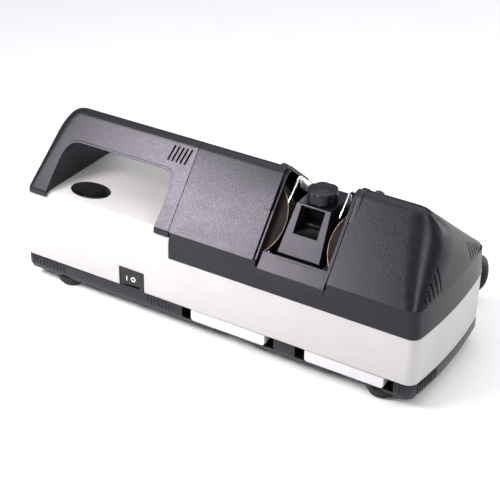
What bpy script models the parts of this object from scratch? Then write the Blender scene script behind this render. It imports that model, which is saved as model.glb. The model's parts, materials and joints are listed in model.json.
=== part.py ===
"""Two-wheel electric knife sharpener: a motor under the carrying handle drives two tilted abrasive wheels."""

from math import asin, atan2, cos, pi, radians, sin, sqrt

import bmesh
import bpy
from mathutils import Euler, Matrix, Vector

MM = 0.001
GAP = 0.3

# Overall shape, in millimetres. X runs along the machine, the front faces -Y, Z=0 is the table.
HALF_DEPTH = 70.0
END_CORNER_X = 211.0
END_BOW = 4.0
CORNER_RADIUS = 10.0
HANDLE_CORNER_RADIUS = 4.0
WALL = 2.6

SKIRT_BOTTOM = 10.0
SKIRT_TOP = 25.4
BAND_BOTTOM = 73.3
CREASE = 100.6
DOME_TOP = 98.5
SEAM_X = -42.4

# Cross-section of the covers: a steep front slope, a rounded ridge and a flatter rear slope.
FRONT_SLOPE = radians(50.7)
REAR_SLOPE = radians(39.6)
RIDGE_RADIUS = 9.3
RIDGE_Y = -11.5
RIDGE_Z = 158.0

# Sharpening station.
STATION_X = 85.5
GAP_LEFT = 47.5
GAP_RIGHT = 122.0
LIP_Z = 94.3

# Wheels, tilted so that they lie parallel to the front slope.
WHEEL_X = (STATION_X - 63.5, STATION_X + 63.5)
WHEEL_Y = -40.0
WHEEL_Z = 127.0
WHEEL_RADIUS = 41.0
WHEEL_THICKNESS = 20.0
HUB_RADIUS = 15.9
SPINDLE_RADIUS = 5.0
SPINDLE_END = 120.0
BELT_S = 113.2
WHEEL_PULLEY_RADIUS = 20.0
MOTOR_PULLEY_RADIUS = 10.0

# Motor.
MOTOR_X = -115.0
MOTOR_Y = 0.0
MOTOR_Z = 54.0
STATOR_RADIUS = 28.0
STATOR_HALF = 17.0
CAP_END = 26.0
MOTOR_PULLEY_S = 36.0

# Drawers: left edge and width of each front.
DRAWERS = ((-18.4, 80.0), (103.2, 79.0))
DRAWER_BOTTOM = 14.3
DRAWER_TOP = 25.1

FEET = ((-169.0, -54.5), (-169.0, 54.5), (175.0, -54.5), (175.0, 54.5))
FOOT_RADIUS = 14.5

KNOB = (86.5, -16.5, 148.3)
KNOB_RADIUS = 14.3
KNOB_HEIGHT = 11.6

GLAND = (190.0, 70.0, 60.0)
CORD_RADIUS = 3.5
COIL = (22.0, 146.0)
COIL_RADIUS = 41.0

COLOURS = {
    "black_abs": ((0.028, 0.027, 0.031), 0.42, 0.0),
    "white_abs": ((0.80, 0.76, 0.70), 0.38, 0.0),
    "grey_abs": ((0.66, 0.65, 0.63), 0.40, 0.0),
    "gloss_black": ((0.012, 0.012, 0.013), 0.15, 0.0),
    "rubber": ((0.022, 0.022, 0.023), 0.80, 0.0),
    "chrome": ((0.86, 0.86, 0.87), 0.12, 1.0),
    "steel": ((0.58, 0.58, 0.60), 0.30, 1.0),
    "aluminium": ((0.70, 0.71, 0.72), 0.35, 1.0),
    "abrasive": ((0.16, 0.055, 0.045), 0.85, 0.0),
    "copper": ((0.72, 0.36, 0.20), 0.35, 1.0),
    "lamination": ((0.30, 0.30, 0.32), 0.45, 1.0),
    "cable": ((0.02, 0.02, 0.02), 0.55, 0.0),
}


def clear_scene():
    for item in list(bpy.data.objects):
        bpy.data.objects.remove(item, do_unlink=True)


def new_collection(name):
    group = bpy.data.collections.new(name)
    bpy.context.scene.collection.children.link(group)
    return group


clear_scene()
PARTS = new_collection("knife_sharpener")
CUTTERS = new_collection("cutters")


def material(name):
    found = bpy.data.materials.get(name)
    if found:
        return found
    colour, roughness, metallic = COLOURS[name]
    made = bpy.data.materials.new(name)
    made.use_nodes = True
    shader = made.node_tree.nodes["Principled BSDF"]
    shader.inputs["Base Color"].default_value = (*colour, 1.0)
    shader.inputs["Roughness"].default_value = roughness
    shader.inputs["Metallic"].default_value = metallic
    return made


def add_object(name, mesh_or_bm, colour, helper=False):
    """Links a mesh as a part, or as a hidden cutter when helper is set."""
    if isinstance(mesh_or_bm, bmesh.types.BMesh):
        mesh = bpy.data.meshes.new(name)
        bmesh.ops.recalc_face_normals(mesh_or_bm, faces=mesh_or_bm.faces)
        mesh_or_bm.to_mesh(mesh)
        mesh_or_bm.free()
    else:
        mesh = mesh_or_bm
    item = bpy.data.objects.new(name, mesh)
    (CUTTERS if helper else PARTS).objects.link(item)
    if helper:
        item.hide_render = True
        item.display_type = "WIRE"
    else:
        mesh.materials.append(material(colour))
    return item


def boolean(item, other, operation):
    step = item.modifiers.new(operation.lower(), "BOOLEAN")
    step.operation = operation
    step.solver = "EXACT"
    step.object = other
    return item


def cut(item, other):
    return boolean(item, other, "DIFFERENCE")


def join(item, other):
    return boolean(item, other, "UNION")


def keep(item, other):
    return boolean(item, other, "INTERSECT")


def smooth(item, angle=32.0):
    """Round pieces are shaded smooth and keep their sharp rims."""
    item.data.shade_smooth()
    item.data.set_sharp_from_angle(angle=radians(angle))
    return item


PLANES = {"X": (1, 2, 0), "Y": (0, 2, 1), "Z": (0, 1, 2)}


def prism(name, outline, axis, start, end, colour=None, helper=False):
    """A flat outline in the plane across an axis, extruded from start to end along it."""
    first, second, along = PLANES[axis]
    bm = bmesh.new()
    corners = []
    for a, b in outline:
        place = [0.0, 0.0, 0.0]
        place[first], place[second], place[along] = a * MM, b * MM, start * MM
        corners.append(bm.verts.new(place))
    face = bm.faces.new(corners)
    moved = bmesh.ops.extrude_face_region(bm, geom=[face])
    shift = [0.0, 0.0, 0.0]
    shift[along] = (end - start) * MM
    tops = [part for part in moved["geom"] if isinstance(part, bmesh.types.BMVert)]
    bmesh.ops.translate(bm, verts=tops, vec=shift)
    return add_object(name, bm, colour, helper)


def box(name, x, y, z, colour=None, helper=False):
    """A box from its three (low, high) ranges."""
    bm = bmesh.new()
    bmesh.ops.create_cube(bm, size=1.0)
    size = [(pair[1] - pair[0]) * MM for pair in (x, y, z)]
    middle = [(pair[1] + pair[0]) * MM / 2 for pair in (x, y, z)]
    bmesh.ops.scale(bm, verts=bm.verts, vec=size)
    bmesh.ops.translate(bm, verts=bm.verts, vec=middle)
    return add_object(name, bm, colour, helper)


def turned(name, profile, place, rotation, colour=None, steps=40, helper=False):
    """A profile of (radius, height) pairs, from top to bottom, turned about the local Z axis."""
    mesh = bpy.data.meshes.new(name)
    points = [(r * MM, 0.0, h * MM) for r, h in profile]
    closed = profile[0][0] > 0.0
    edges = [(i, i + 1) for i in range(len(points) - 1)]
    if closed:
        edges.append((len(points) - 1, 0))
    mesh.from_pydata(points, edges, [])
    item = add_object(name, mesh, colour, helper)
    item.location = [value * MM for value in place]
    item.rotation_euler = rotation
    step = item.modifiers.new("turn", "SCREW")
    step.axis = "Z"
    step.steps = steps
    step.render_steps = steps
    step.use_merge_vertices = True
    step.merge_threshold = 0.00005
    step.use_smooth_shade = True
    return item


def ring_profile(outer, inner, low, high):
    """A tube wall: down its outer side and back up its bore."""
    return ((outer, high), (outer, low), (inner, low), (inner, high))


def disc_profile(radius, low, high):
    return ((0.0, high), (radius, high), (radius, low), (0.0, low))


def plan_end(corner, inset, corner_steps, bow_steps):
    """One end of the plan outline, at +X, from the front to the rear."""
    half = HALF_DEPTH - inset
    radius = max(corner - inset, 1.5)
    end = END_CORNER_X - inset
    side = []
    for i in range(corner_steps + 1):
        angle = radians(-90 + 78 * i / corner_steps)
        side.append((end - radius + radius * cos(angle), -half + radius + radius * sin(angle)))
    low = side[-1]
    for i in range(1, bow_steps):
        y = low[1] * (1 - 2 * i / bow_steps)
        side.append((low[0] + END_BOW * (1 - (y / low[1]) ** 2), y))
    return side + [(x, -y) for x, y in reversed(side[: corner_steps + 1])]


def plan_outline(inset=0.0, corner_steps=5, bow_steps=8):
    """The outline seen from above: straight long sides, bowed ends and round corners."""
    right = plan_end(CORNER_RADIUS, inset, corner_steps, bow_steps)
    left = plan_end(HANDLE_CORNER_RADIUS, inset, corner_steps, bow_steps)
    return right + [(-x, -y) for x, y in left]


def stacked(name, rings, colour=None, helper=False):
    """A solid through level copies of the plan outline, each given as (height, inset)."""
    bm = bmesh.new()
    loops = []
    for height, inset in rings:
        loops.append([bm.verts.new((x * MM, y * MM, height * MM)) for x, y in plan_outline(inset)])
    for lower, upper in zip(loops, loops[1:]):
        count = len(lower)
        for i in range(count):
            j = (i + 1) % count
            bm.faces.new((lower[i], lower[j], upper[j], upper[i]))
    bm.faces.new(loops[0])
    bm.faces.new(loops[-1])
    return add_object(name, bm, colour, helper)


def section(inset, bottom, steps=6):
    """The covers' cross-section in Y and Z, inset from the outside."""
    radius = RIDGE_RADIUS - inset
    points = [(-HALF_DEPTH + inset, bottom)]
    front = Vector((-sin(FRONT_SLOPE), cos(FRONT_SLOPE)))
    rear = Vector((sin(REAR_SLOPE), cos(REAR_SLOPE)))
    centre = Vector((RIDGE_Y, RIDGE_Z))
    start = centre + front * radius
    points.append((-HALF_DEPTH + inset, start.y - (start.x + HALF_DEPTH - inset) * sin(FRONT_SLOPE) / cos(FRONT_SLOPE)))
    for i in range(steps + 1):
        angle = -FRONT_SLOPE + (FRONT_SLOPE + REAR_SLOPE) * i / steps
        points.append((centre.x + radius * sin(angle), centre.y + radius * cos(angle)))
    stop = centre + rear * radius
    rise = sin(REAR_SLOPE) / cos(REAR_SLOPE)
    points.append((HALF_DEPTH - inset, stop.y - (HALF_DEPTH - inset - stop.x) * rise))
    points.append((HALF_DEPTH - inset, bottom))
    return points


def along_axis(x, y, z, s):
    """The point s millimetres back along a tilted spindle whose front face is at (x, y, z)."""
    return (x, y + s * sin(FRONT_SLOPE), z - s * cos(FRONT_SLOPE))


TILT = (FRONT_SLOPE, 0.0, 0.0)


def tilted(name, profile, x, y, z, colour=None, steps=40, helper=False):
    """A turned piece on a spindle axis. Heights in its profile run outward from (x, y, z)."""
    return turned(name, profile, (x, y, z), TILT, colour, steps, helper)


def tube(name, points, radius, colour, resolution=2):
    """A wire or cord through the points, with closed ends."""
    curve = bpy.data.curves.new(name, "CURVE")
    curve.dimensions = "3D"
    spline = curve.splines.new("POLY")
    spline.points.add(len(points) - 1)
    for knot, place in zip(spline.points, points):
        knot.co = (*[value * MM for value in place], 1.0)
    curve.bevel_depth = radius * MM
    curve.bevel_resolution = resolution
    curve.use_fill_caps = True
    item = bpy.data.objects.new(name, curve)
    PARTS.objects.link(item)
    curve.materials.append(material(colour))
    return item


def smooth_route(knots, spacing):
    """Points at even steps along a Catmull-Rom curve through the knots."""
    ends = [Vector(knots[0]) * 2 - Vector(knots[1])] + [Vector(k) for k in knots]
    ends.append(Vector(knots[-1]) * 2 - Vector(knots[-2]))
    dense = []
    for a, b, c, d in zip(ends, ends[1:], ends[2:], ends[3:]):
        for i in range(40):
            t = i / 40
            dense.append(0.5 * (2 * b + (c - a) * t + (2 * a - 5 * b + 4 * c - d) * t**2 + (3 * b - a - 3 * c + d) * t**3))
    dense.append(ends[-2])
    lengths = [0.0]
    for a, b in zip(dense, dense[1:]):
        lengths.append(lengths[-1] + (b - a).length)
    count = max(2, round(lengths[-1] / spacing))
    route = []
    index = 0
    for k in range(count + 1):
        target = lengths[-1] * k / count
        while index < len(lengths) - 2 and lengths[index + 1] < target:
            index += 1
        share = (target - lengths[index]) / max(lengths[index + 1] - lengths[index], 1e-9)
        route.append(tuple(dense[index].lerp(dense[index + 1], min(share, 1.0))))
    return route


def base_tray():
    """The black underside with its skirt, drawer mouths and finger notches."""
    tray = stacked("base_tray", ((SKIRT_BOTTOM, 2.5), (SKIRT_BOTTOM + 6, 0.0), (SKIRT_TOP, 0.0)), "black_abs")
    cut(tray, stacked("tray_inside", ((13.0, WALL + 1.5), (SKIRT_TOP + 5, WALL + 1.5)), helper=True))
    for index, (left, width) in enumerate(DRAWERS):
        mouth = box(f"mouth_{index}", (left - 9.8, left + width + 9.6), (-75, -60), (13.6, 30), helper=True)
        cut(tray, mouth)
        middle = left + width / 2
        cut(tray, box(f"notch_{index}", (middle - 14, middle + 14), (-75, -63), (5, 14.5), helper=True))
    for index, (x, y) in enumerate(FEET):
        hole = turned(f"foot_hole_{index}", disc_profile(2.6, 5, 20), (x, y, 0), (0, 0, 0), steps=12, helper=True)
        cut(tray, hole)
    return tray


def feet():
    """Four rubber feet, each held by a stem pressed through the base."""
    for index, (x, y) in enumerate(FEET):
        name = ("front_left", "rear_left", "front_right", "rear_right")[index]
        profile = (
            (0.0, 12.7),
            (2.2, 12.7),
            (2.2, SKIRT_BOTTOM - GAP),
            (FOOT_RADIUS, SKIRT_BOTTOM - GAP),
            (FOOT_RADIUS, 5.0),
            (FOOT_RADIUS - 2.5, 1.0),
            (FOOT_RADIUS - 5.0, 0.0),
            (0.0, 0.0),
        )
        turned(f"foot_{name}", profile, (x, y, 0), (0, 0, 0), "rubber", steps=28)


def body_shell():
    """The white lower body, raised into a flat-topped dome under the handle."""
    rings = ((SKIRT_TOP + GAP, 0.0), (90.0, 0.0), (93.0, 0.6), (95.8, 2.4), (97.6, 5.0), (DOME_TOP, 8.0))
    shell = stacked("body_shell", rings, "white_abs")
    cut(shell, box("dome_end", (SEAM_X - GAP, 240), (-90, 90), (BAND_BOTTOM - GAP, 120), helper=True))
    cut(shell, stacked("lower_inside", ((20, WALL), (BAND_BOTTOM - 0.5, WALL)), helper=True))
    dome = stacked("dome_inside", ((50, WALL), (89, WALL), (DOME_TOP - WALL, 8.0)), helper=True)
    keep(dome, box("dome_room", (-230, SEAM_X - 3), (-90, 90), (40, 120), helper=True))
    cut(shell, dome)
    cut(shell, box("rim_open", (SEAM_X + 0.2, 205), (-66, 66), (60, 80), helper=True))
    cut(shell, box("switch_hole", (-99.9, -71.1), (-80, -60), (20, 46.9), helper=True))
    x, y, z = GLAND
    cut(shell, turned("gland_hole", disc_profile(6.3, -10, 10), (x, y, z), (pi / 2, 0, 0), steps=20, helper=True))
    return shell


def handle_hole(margin):
    """The hand opening seen from the front, grown by a margin."""
    m = margin
    left, right, top = -188.0 - m, -56.6 + m, 143.6 + m
    return (
        (left, 60.0),
        (left, top - 12.0),
        (left + 2.6, top - 5.0),
        (left + 9.0, top),
        (right - 10.0, top),
        (right - 3.0, top - 4.5),
        (right, top - 12.0),
        (right, 60.0),
    )


def handle_end(inset):
    """The handle seen from the front: it leans in at its left end."""
    i = inset
    return (
        (-203.6 + i, 40.0),
        (-203.6 + i, 103.0),
        (-197.0 + i, 152.0),
        (-194.8 + i, 158.6 - i * 0.4),
        (-190.4 + i * 0.6, 164.0 - i),
        (-183.5, 166.6 - i),
        (SEAM_X - GAP - i, 167.5 - i),
        (SEAM_X - GAP - i, 40.0),
    )


def handle_cover():
    """The black carrying handle with a hand opening right through it."""
    cover = prism("handle_cover", section(0.0, DOME_TOP + GAP), "X", -204.0, SEAM_X - GAP, "black_abs")
    keep(cover, prism("handle_lean", handle_end(0.0), "Y", -90, 90, helper=True))
    cut(cover, prism("hand_hole", handle_hole(0.0), "Y", -90, 90, helper=True))
    hollow = prism("handle_hollow", section(WALL, 90.0), "X", -203.0, SEAM_X - GAP, helper=True)
    keep(hollow, prism("hollow_lean", handle_end(WALL), "Y", -90, 90, helper=True))
    cut(hollow, prism("hollow_hole", handle_hole(WALL), "Y", -90, 90, helper=True))
    cut(cover, hollow)
    for index in range(5):
        x = -66.0 + 4.4 * index
        outline = ((x - 1.2, 151.0), (x + 0.6, 151.0), (x + 3.0, 161.5), (x + 1.2, 161.5))
        cut(cover, prism(f"handle_vent_{index}", outline, "Y", -60, -14, helper=True))
    return cover


def collar(name, start, end):
    """A raised rim round the ridge at the edge of the station."""
    rim = prism(name, section(-1.2, 95.0), "X", start, end, helper=True)
    return keep(rim, box(f"{name}_room", (start - 5, end + 5), (-45, 35), (138, 180), helper=True))


def centre_cover():
    """The black cover over the left wheel, open towards the station."""
    cover = prism("centre_cover", section(0.0, CREASE + GAP), "X", SEAM_X, GAP_LEFT, "black_abs")
    join(cover, collar("collar_left", GAP_LEFT - 6.0, GAP_LEFT + 0.2))
    cut(cover, prism("centre_inside", section(WALL, 90.0), "X", SEAM_X + WALL, GAP_LEFT + 10, helper=True))
    return cover


def half_space(name, place, normal):
    """A large block whose face lies on the plane, to cut off what is beyond it."""
    bm = bmesh.new()
    bmesh.ops.create_cube(bm, size=0.4)
    bmesh.ops.translate(bm, verts=bm.verts, vec=(0, 0, 0.2))
    turn = Vector((0, 0, 1)).rotation_difference(Vector(normal)).to_matrix().to_4x4()
    bmesh.ops.transform(bm, matrix=Matrix.Translation(Vector(place) * MM) @ turn, verts=bm.verts)
    return add_object(name, bm, None, helper=True)


def end_cover():
    """The black cover over the right wheel, with a leaning end face and soft hips."""
    cover = prism("end_cover", section(0.0, CREASE + GAP), "X", GAP_RIGHT, 216.0, "black_abs")
    keep(cover, stacked("end_lean", ((95, 1.2), (CREASE, 1.5), (170, 15.0)), helper=True))
    join(cover, collar("collar_right", GAP_RIGHT - 0.2, GAP_RIGHT + 4.6))
    inside = prism("end_inside", section(WALL, 90.0), "X", GAP_RIGHT - 10, 216.0, helper=True)
    keep(inside, stacked("inside_lean", ((85, 1.2 + WALL), (CREASE, 1.5 + WALL), (170, 15.0 + WALL)), helper=True))
    cut(inside, half_space("inside_hip_front", (202.5 - 4.2, -58.5, 113.0), (0.80, -0.47, 0.385)))
    cut(inside, half_space("inside_hip_rear", (202.5 - 4.2, 58.5, 108.0), (0.80, 0.40, 0.46)))
    cut(cover, inside)
    cut(cover, half_space("hip_front", (202.5, -58.5, 113.0), (0.80, -0.47, 0.385)))
    cut(cover, half_space("hip_rear", (202.5, 58.5, 108.0), (0.80, 0.40, 0.46)))
    for index in range(5):
        y = 53.0 - 5.2 * index
        low, high = 106.0, 109.0 + 4.2 * index
        cut(cover, box(f"end_vent_front_{index}", (203, 220), (-y - 0.9, -y + 0.9), (low, high), helper=True))
        cut(cover, box(f"end_vent_rear_{index}", (203, 220), (y - 0.9, y + 0.9), (low, high), helper=True))
    return cover


def lip_outline(rear):
    """The low apron that leads the blade in, in Y and Z."""
    tilt = REAR_SLOPE if rear else FRONT_SLOPE
    side = 1.0 if rear else -1.0
    y0, z0 = HALF_DEPTH * side, LIP_Z
    along = Vector((-side * cos(tilt), sin(tilt)))
    inward = Vector((-side * sin(tilt), -cos(tilt)))
    outer = Vector((y0, z0))
    tip = outer + along * 16.6
    inner = tip + inward * WALL
    return ((y0, 88.0), tuple(outer), tuple(tip), tuple(inner), (y0 - side * WALL, z0 - 1.5), (y0 - side * WALL, 88.0))


def wheel_housing():
    """The black band round the upper body, with the station's lips and the bridge under the block."""
    band = stacked("wheel_housing", ((BAND_BOTTOM, 0.0), (CREASE, 1.5)), "black_abs")
    cut(band, box("band_left_end", (-240, SEAM_X), (-90, 90), (60, 120), helper=True))
    cut(band, stacked("band_inside", ((60, WALL), (120, WALL + 1.5)), helper=True))
    join(band, box("band_wall", (SEAM_X + 0.5, SEAM_X + 3.0), (-68.5, 68.5), (BAND_BOTTOM + 0.7, CREASE - 0.7), helper=True))
    for name, y in (("gap_front", (-90, -60)), ("gap_rear", (60, 90))):
        cut(band, box(name, (GAP_LEFT + 2.0, GAP_RIGHT - 0.8), y, (LIP_Z, 120), helper=True))
    for name, rear in (("lip_front", False), ("lip_rear", True)):
        lip = prism(name, lip_outline(rear), "X", STATION_X - 33.5, STATION_X + 33.5, helper=True)
        join(band, lip)
    bridge = box("bridge", (STATION_X - 20.0, STATION_X + 20.0), (-61.0, 62.0), (99.5, 105.5), helper=True)
    join(band, bridge)
    return band


def guide_block():
    """The wedge between the wheels, with a pocket in its front face and the knob on its top."""
    bm = bmesh.new()
    x = KNOB[0] - 0.4
    low = ((-21.0, -57.0), (21.0, -57.0), (21.0, 44.0), (-21.0, 44.0))
    high = ((-16.9, -31.3), (16.9, -31.3), (16.9, 8.0), (-16.9, 8.0))
    rings = []
    for outline, height in ((low, 108.9), (high, KNOB[2] - GAP)):
        rings.append([bm.verts.new(((x + a) * MM, b * MM, height * MM)) for a, b in outline])
    for i in range(4):
        j = (i + 1) % 4
        bm.faces.new((rings[0][i], rings[0][j], rings[1][j], rings[1][i]))
    bm.faces.new(rings[0])
    bm.faces.new(rings[1])
    block = add_object("guide_block", bm, "black_abs")
    cut(block, box("pocket", (x - 12.0, x + 12.0), (-70, -24.5), (125.3, 146.7), helper=True))
    bore = turned("knob_bore", disc_profile(3.4, 112, 160), (KNOB[0], KNOB[1], 0), (0, 0, 0), steps=20, helper=True)
    cut(block, bore)
    cut(block, box("block_step", (x - 30, x + 30), (-49, 60), (100, 109.6), helper=True))
    join(block, box("block_foot", (x - 14, x + 14), (-53, 40), (105.8, 112.0), helper=True))
    return block


def knob():
    """A lobed hand knob on a threaded stem."""
    outline = []
    for i in range(72):
        angle = 2 * pi * i / 72
        radius = KNOB_RADIUS - 1.3 * (0.5 - 0.5 * cos(6 * angle)) ** 2
        outline.append((KNOB[0] + radius * cos(angle), KNOB[1] + radius * sin(angle)))
    head = prism("adjuster_knob", outline, "Z", KNOB[2], KNOB[2] + KNOB_HEIGHT, "black_abs")
    cap = turned("knob_cap", disc_profile(7.0, KNOB_HEIGHT - 2, KNOB_HEIGHT + 1.2), KNOB, (0, 0, 0), steps=28, helper=True)
    join(head, cap)
    cut(head, turned("knob_socket", disc_profile(3.3, -2, 8), KNOB, (0, 0, 0), steps=20, helper=True))
    stem = disc_profile(3.0, -35.0, 7.6)
    turned("adjuster_screw", stem, KNOB, (0, 0, 0), "steel", steps=20)
    return head


def guide_strap(name, x, side):
    """A bright steel strap over the ridge: a thin front leg and a broad rear leg."""
    inner = section(7.0, 90.0, steps=6)
    outer = section(4.8, 90.0, steps=6)
    wide = section(13.0, 90.0, steps=3)
    front = [p for p in outer[2:] if p[0] < 60]
    outline = [(-30.4, 144.6)] + [tuple(p) for p in front[:7]]
    stop = Vector((RIDGE_Y, RIDGE_Z)) + Vector((sin(REAR_SLOPE), cos(REAR_SLOPE))) * 4.5
    down = Vector((cos(REAR_SLOPE), -sin(REAR_SLOPE)))
    inward = Vector((-sin(REAR_SLOPE), -cos(REAR_SLOPE)))
    far = stop + down * 78.0
    outline += [tuple(far), tuple(far + inward * 9.0)]
    outline += [tuple(stop + down * 6.0 + inward * 9.0), tuple(stop + down * 1.5 + inward * 3.0)]
    outline += [(RIDGE_Y - 1.6, RIDGE_Z + 1.4), (-28.6, 143.2)]
    return prism(name, outline, "X", x - 0.6, x + 0.6, "chrome")


def wheel(index):
    """One wheel assembly: abrasive ring, hub, spindle, nut and pulley, all on one tilted axis."""
    side = ("left", "right")[index]
    place = (WHEEL_X[index], WHEEL_Y, WHEEL_Z)
    t = WHEEL_THICKNESS
    abrasive = ((WHEEL_RADIUS - 0.8, 0.0), (WHEEL_RADIUS, -0.8), (WHEEL_RADIUS, -t), (HUB_RADIUS + GAP, -t), (HUB_RADIUS + GAP, 0.0))
    tilted(f"abrasive_{side}", abrasive, *place, "abrasive", steps=56)
    tilted(f"hub_{side}", ring_profile(HUB_RADIUS, SPINDLE_RADIUS + GAP, -t + 1.0, -6.0), *place, "aluminium", steps=32)
    tilted(f"spindle_{side}", disc_profile(SPINDLE_RADIUS, -SPINDLE_END, -0.6), *place, "steel", steps=20)
    nut = tilted(f"nut_{side}", ring_profile(8.6, SPINDLE_RADIUS + 1.2, -5.7, -1.2), *place, "steel", steps=6)
    nut.modifiers["turn"].use_smooth_shade = False
    low, high = -BELT_S - 4.5, -BELT_S + 4.5
    pulley = (
        (WHEEL_PULLEY_RADIUS + 1.8, high + 1.5),
        (WHEEL_PULLEY_RADIUS + 1.8, high + 0.4),
        (WHEEL_PULLEY_RADIUS, high + 0.4),
        (WHEEL_PULLEY_RADIUS, low - 0.4),
        (WHEEL_PULLEY_RADIUS + 1.8, low - 0.4),
        (WHEEL_PULLEY_RADIUS + 1.8, low - 1.5),
        (SPINDLE_RADIUS + GAP, low - 1.5),
        (SPINDLE_RADIUS + GAP, high + 1.5),
    )
    tilted(f"pulley_{side}", pulley, *place, "aluminium", steps=32)
    tilted(f"bearing_tube_{side}", ring_profile(16.0, 11.3, -98.0, -26.0), *place, "aluminium", steps=28)
    tilted(f"bearing_front_{side}", ring_profile(11.0, SPINDLE_RADIUS + GAP, -34.0, -27.0), *place, "steel", steps=24)
    tilted(f"bearing_rear_{side}", ring_profile(11.0, SPINDLE_RADIUS + GAP, -97.0, -90.0), *place, "steel", steps=24)


def spindle_carrier():
    """A tilted plate that holds both bearing tubes, standing on two cheeks."""
    up = Vector((cos(FRONT_SLOPE), sin(FRONT_SLOPE)))
    back = Vector((sin(FRONT_SLOPE), -cos(FRONT_SLOPE)))
    axis = Vector((WHEEL_Y, WHEEL_Z))
    near = axis + back * 60.0
    outline = [near + up * 26, near - up * 36, near - up * 36 + back * 4, near + up * 26 + back * 4]
    carrier = prism("spindle_carrier", [tuple(p) for p in outline], "X", -30.0, 200.0, "aluminium")
    low = near - up * 34 + back * 2
    high = near + up * 6 + back * 2
    cheek = ((low.x - 14, 13.3), (low.x + 26, 13.3), tuple(high), tuple(low))
    join(carrier, prism("cheek_left", cheek, "X", -30.0, -26.0, helper=True))
    join(carrier, prism("cheek_right", cheek, "X", 196.0, 200.0, helper=True))
    for index, x in enumerate(WHEEL_X):
        hole = tilted(f"carrier_hole_{index}", disc_profile(16.3, -70, -50), x, WHEEL_Y, WHEEL_Z, steps=28, helper=True)
        cut(carrier, hole)
    cut(carrier, box("bridge_room", (STATION_X - 24, STATION_X + 24), (-40, 60), (94, 130), helper=True))
    return carrier


def motor():
    """The tilted drive motor: stator, coils, end caps, rotor, shaft and pulley."""
    place = (MOTOR_X, MOTOR_Y, MOTOR_Z)
    tilted("motor_stator", ring_profile(STATOR_RADIUS, 16.4, -STATOR_HALF, STATOR_HALF), *place, "lamination", steps=36)
    for name, side in (("front", 1), ("rear", -1)):
        low, high = sorted((side * (STATOR_HALF + GAP), side * (STATOR_HALF + 6.0)))
        tilted(f"motor_coil_{name}", ring_profile(25.0, 17.5, low, high), *place, "copper", steps=32)
        inner = STATOR_HALF + GAP
        cap = (
            (STATOR_RADIUS, inner),
            (STATOR_RADIUS - 2.4, inner),
            (STATOR_RADIUS - 2.4, CAP_END - 2.4),
            (4.4, CAP_END - 2.4),
            (4.4, CAP_END),
            (STATOR_RADIUS - 2.0, CAP_END),
            (STATOR_RADIUS, CAP_END - 2.0),
        )
        if side < 0:
            cap = tuple((r, -h) for r, h in reversed(cap))
        tilted(f"motor_cap_{name}", cap, *place, "aluminium", steps=36)
    tilted("motor_rotor", ring_profile(16.0, 4.3, -STATOR_HALF, STATOR_HALF), *place, "lamination", steps=32)
    tilted("motor_shaft", disc_profile(4.0, -MOTOR_PULLEY_S - 6.5, CAP_END + 1.0), *place, "steel", steps=16)
    low, high = -MOTOR_PULLEY_S - 4.5, -MOTOR_PULLEY_S + 4.5
    pulley = (
        (MOTOR_PULLEY_RADIUS + 1.8, high + 1.5),
        (MOTOR_PULLEY_RADIUS + 1.8, high + 0.4),
        (MOTOR_PULLEY_RADIUS, high + 0.4),
        (MOTOR_PULLEY_RADIUS, low - 0.4),
        (MOTOR_PULLEY_RADIUS + 1.8, low - 0.4),
        (MOTOR_PULLEY_RADIUS + 1.8, low - 1.5),
        (4.3, low - 1.5),
        (4.3, high + 1.5),
    )
    tilted("motor_pulley", pulley, *place, "aluminium", steps=24)


def motor_bracket():
    """A bent plate that carries the motor by its rear cap."""
    up = Vector((cos(FRONT_SLOPE), sin(FRONT_SLOPE)))
    back = Vector((sin(FRONT_SLOPE), -cos(FRONT_SLOPE)))
    near = Vector((MOTOR_Y, MOTOR_Z)) + back * (CAP_END + GAP)
    rise = sin(FRONT_SLOPE)
    floor = 13.3
    foot = near - up * ((near.y - floor) / rise)
    outline = (
        (foot.x - 34, floor),
        (foot.x + 3.2 / rise, floor),
        tuple(near + up * 22 + back * 2.5),
        tuple(near + up * 22),
        (foot.x + 2.2 * cos(FRONT_SLOPE) / rise, floor + 2.2),
        (foot.x - 34, floor + 2.2),
    )
    bracket = prism("motor_bracket", outline, "X", MOTOR_X - 24, MOTOR_X + 24, "steel")
    hole = tilted("bracket_hole", disc_profile(7.0, -40, -20), MOTOR_X, MOTOR_Y, MOTOR_Z, steps=24, helper=True)
    return cut(bracket, hole)


def hull(points):
    """The convex hull of flat points, counter-clockwise."""
    ordered = sorted(set(points))
    chains = []
    for run in (ordered, ordered[::-1]):
        chain = []
        for p in run:
            while len(chain) > 1:
                (ax, ay), (bx, by) = chain[-2], chain[-1]
                if (bx - ax) * (p[1] - ay) - (by - ay) * (p[0] - ax) > 0:
                    break
                chain.pop()
            chain.append(p)
        chains += chain[:-1]
    return chains


def belt_outline(grow):
    """The belt's path round the three pulleys, in the plane across the spindles."""
    offset = (MOTOR_Y - WHEEL_Y) * cos(FRONT_SLOPE) + (MOTOR_Z - WHEEL_Z) * sin(FRONT_SLOPE)
    circles = [(x, 0.0, WHEEL_PULLEY_RADIUS + grow) for x in WHEEL_X]
    circles.append((MOTOR_X, offset, MOTOR_PULLEY_RADIUS + grow))
    points = []
    for x, y, radius in circles:
        for i in range(48):
            angle = 2 * pi * i / 48
            points.append((round(x + radius * cos(angle), 4), round(y + radius * sin(angle), 4)))
    return hull(points)


def drive_belt():
    """A flat belt round the motor pulley and both wheel pulleys."""
    belt = prism("drive_belt", belt_outline(1.7), "Z", -4.0, 4.0, "rubber")
    hole = prism("belt_inside", belt_outline(GAP), "Z", -8.0, 8.0, helper=True)
    place = Vector(along_axis(0.0, WHEEL_Y, WHEEL_Z, BELT_S)) * MM
    for item in (belt, hole):
        item.location = place
        item.rotation_euler = TILT
    return cut(belt, hole)


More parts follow.
